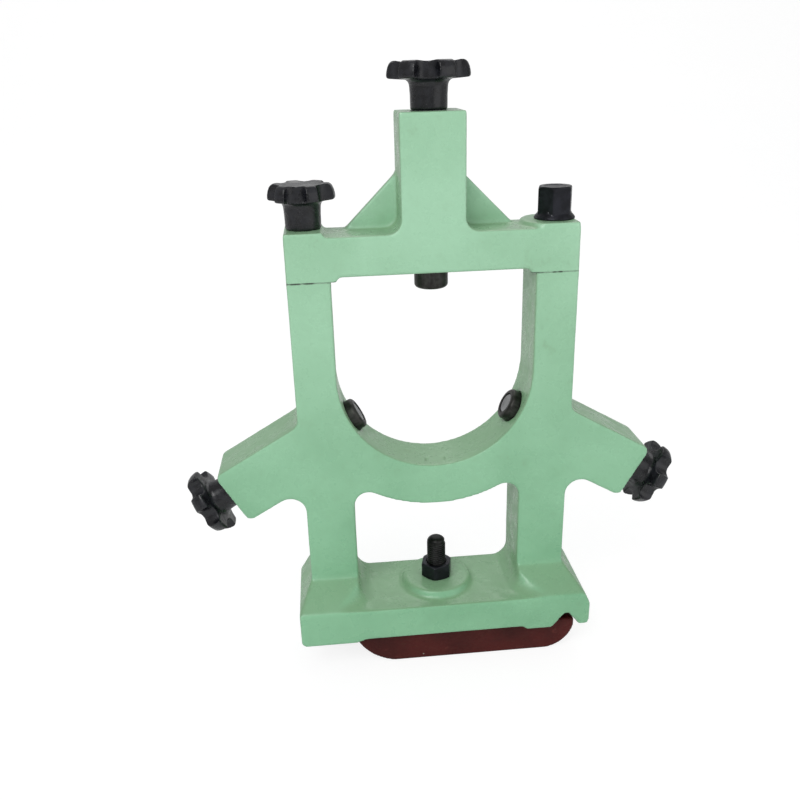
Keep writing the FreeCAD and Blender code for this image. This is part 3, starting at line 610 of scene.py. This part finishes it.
plate = newObject("clampPlate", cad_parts["clamp_plate"].data.copy(), oxide)
build = bmesh.new()
build.from_mesh(plate.data)
bmesh.ops.remove_doubles(build, verts=build.verts, dist=1e-5)
build.to_mesh(plate.data)
build.free()
roundOver(plate, 1.3 * mm, 6)
bakeModifiers(plate, oxide)
build = bmesh.new()
build.from_mesh(plate.data)
clearBores(build, [(Vector((0, -11 * mm, -1)), Vector((0, 0, 1)), 8.1 * mm)])
build.to_mesh(plate.data)
build.free()
finishPiece(plate, "bed_plate", "red_oxide", "clamp_plate")
print("clamp plate made")


# what stays as it is in the frame

kept = {"jaw_screw": oily, "jaw_bush": oily, "key_screw": oily, "knob_insert": brass}
for node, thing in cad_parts.items():
    for ending, material in kept.items():
        if node.endswith(ending):
            thing.data.materials.clear()
            thing.data.materials.append(material)


# stage

def paleFloor():
    # white behind the object, with a soft shadow under it
    material, graph, shader, where = newMaterial("paleFloor")
    cloud = graph.noise(where, 3, 3)
    graph.feed(graph.mix(graph.ramp(cloud, 0.3, 0.7), tone(246, 246, 246), tone(242, 243, 244)),
               shader.inputs["Base Color"])
    shader.inputs["Roughness"].default_value = 0.9
    shader.inputs["Specular IOR Level"].default_value = 0.1
    ray = graph.add("ShaderNodeLightPath").outputs["Is Camera Ray"]
    glow = graph.add("ShaderNodeEmission")
    glow.inputs["Color"].default_value = (1, 1, 1, 1)
    glow.inputs["Strength"].default_value = 1.16
    both = graph.add("ShaderNodeMixShader")
    graph.feed(graph.math("MULTIPLY", ray, 0.72), both.inputs[0])
    graph.feed(shader.outputs[0], both.inputs[1])
    graph.feed(glow.outputs[0], both.inputs[2])
    graph.feed(both.outputs[0], material.node_tree.nodes["Material Output"].inputs["Surface"])
    return material


floorHeight = cadBox[0][2]
stage = {"front": -4.0, "back": 2.4, "curve": 1.2, "half": 5.0, "wall": 4.0}
mesh = bpy.data.meshes.new("floor")
build = bmesh.new()
path = [(stage["front"], 0.0), (stage["back"] - stage["curve"], 0.0)]
path += [(stage["back"] - stage["curve"] + stage["curve"] * math.sin(a), stage["curve"] * (1 - math.cos(a)))
         for a in (math.radians(7.5 * n) for n in range(1, 13))]
path.append((stage["back"], stage["wall"]))
rows = [[build.verts.new((x, y, floorHeight + z)) for x in (-stage["half"], stage["half"])] for y,
        z in path]
for first, second in zip(rows, rows[1:]):
    build.faces.new((first[0], first[1], second[1], second[0]))
build.to_mesh(mesh)
build.free()
floor = newObject("floor", mesh, paleFloor())

world = bpy.data.worlds.new("studio")
bpy.context.scene.world = world
world.use_nodes = True
graph = Graph(world.node_tree)
sky = world.node_tree.nodes["Background"]
ray = graph.add("ShaderNodeLightPath").outputs["Is Camera Ray"]
sky.inputs["Color"].default_value = (1, 1, 1, 1)
graph.feed(graph.ramp(ray, 0.0, 1.0, 0.42, 1.0), sky.inputs["Strength"])

lamps = {
    "key": {"at": (-0.9, -1.5, 1.7), "size": 1.3, "power": 24},
    "fill": {"at": (1.5, -1.3, 0.6), "size": 1.6, "power": 6},
    "back": {"at": (0.3, 1.4, 1.6), "size": 1.4, "power": 8},
}
for name, lamp in lamps.items():
    light = bpy.data.lights.new(name, "AREA")
    light.size = lamp["size"]
    light.energy = lamp["power"]
    thing = bpy.data.objects.new(name, light)
    bpy.context.scene.collection.objects.link(thing)
    thing.location = lamp["at"]
    thing.rotation_euler = (Vector((0, 0, 0)) - Vector(lamp["at"])).to_track_quat("-Z", "Y").to_euler()

view = {"at": (-78.7 * mm, -620.4 * mm, 220.5 * mm), "pitch": -0.3785, "yaw": -0.0836, "roll": 0.0287,
        "lens": 37.08}
camera = bpy.data.cameras.new("camera")
camera.lens = view["lens"]
camera.sensor_width = 36
camera.clip_end = 50
eye = bpy.data.objects.new("camera", camera)
bpy.context.scene.collection.objects.link(eye)
turn = Matrix.Rotation(view["yaw"], 3, "Z") @ Matrix.Rotation(view["pitch"], 3,
                                                            "X") @ Matrix.Rotation(view["roll"], 3, "Y")
across, ahead, above = turn.col[0], turn.col[1], turn.col[2]
eye.matrix_world = Matrix.Translation(view["at"]) @ Matrix((across, above, -ahead)).transposed().to_4x4()
bpy.context.scene.camera = eye
bpy.context.scene.view_settings.view_transform = "Standard"


print("scene made")
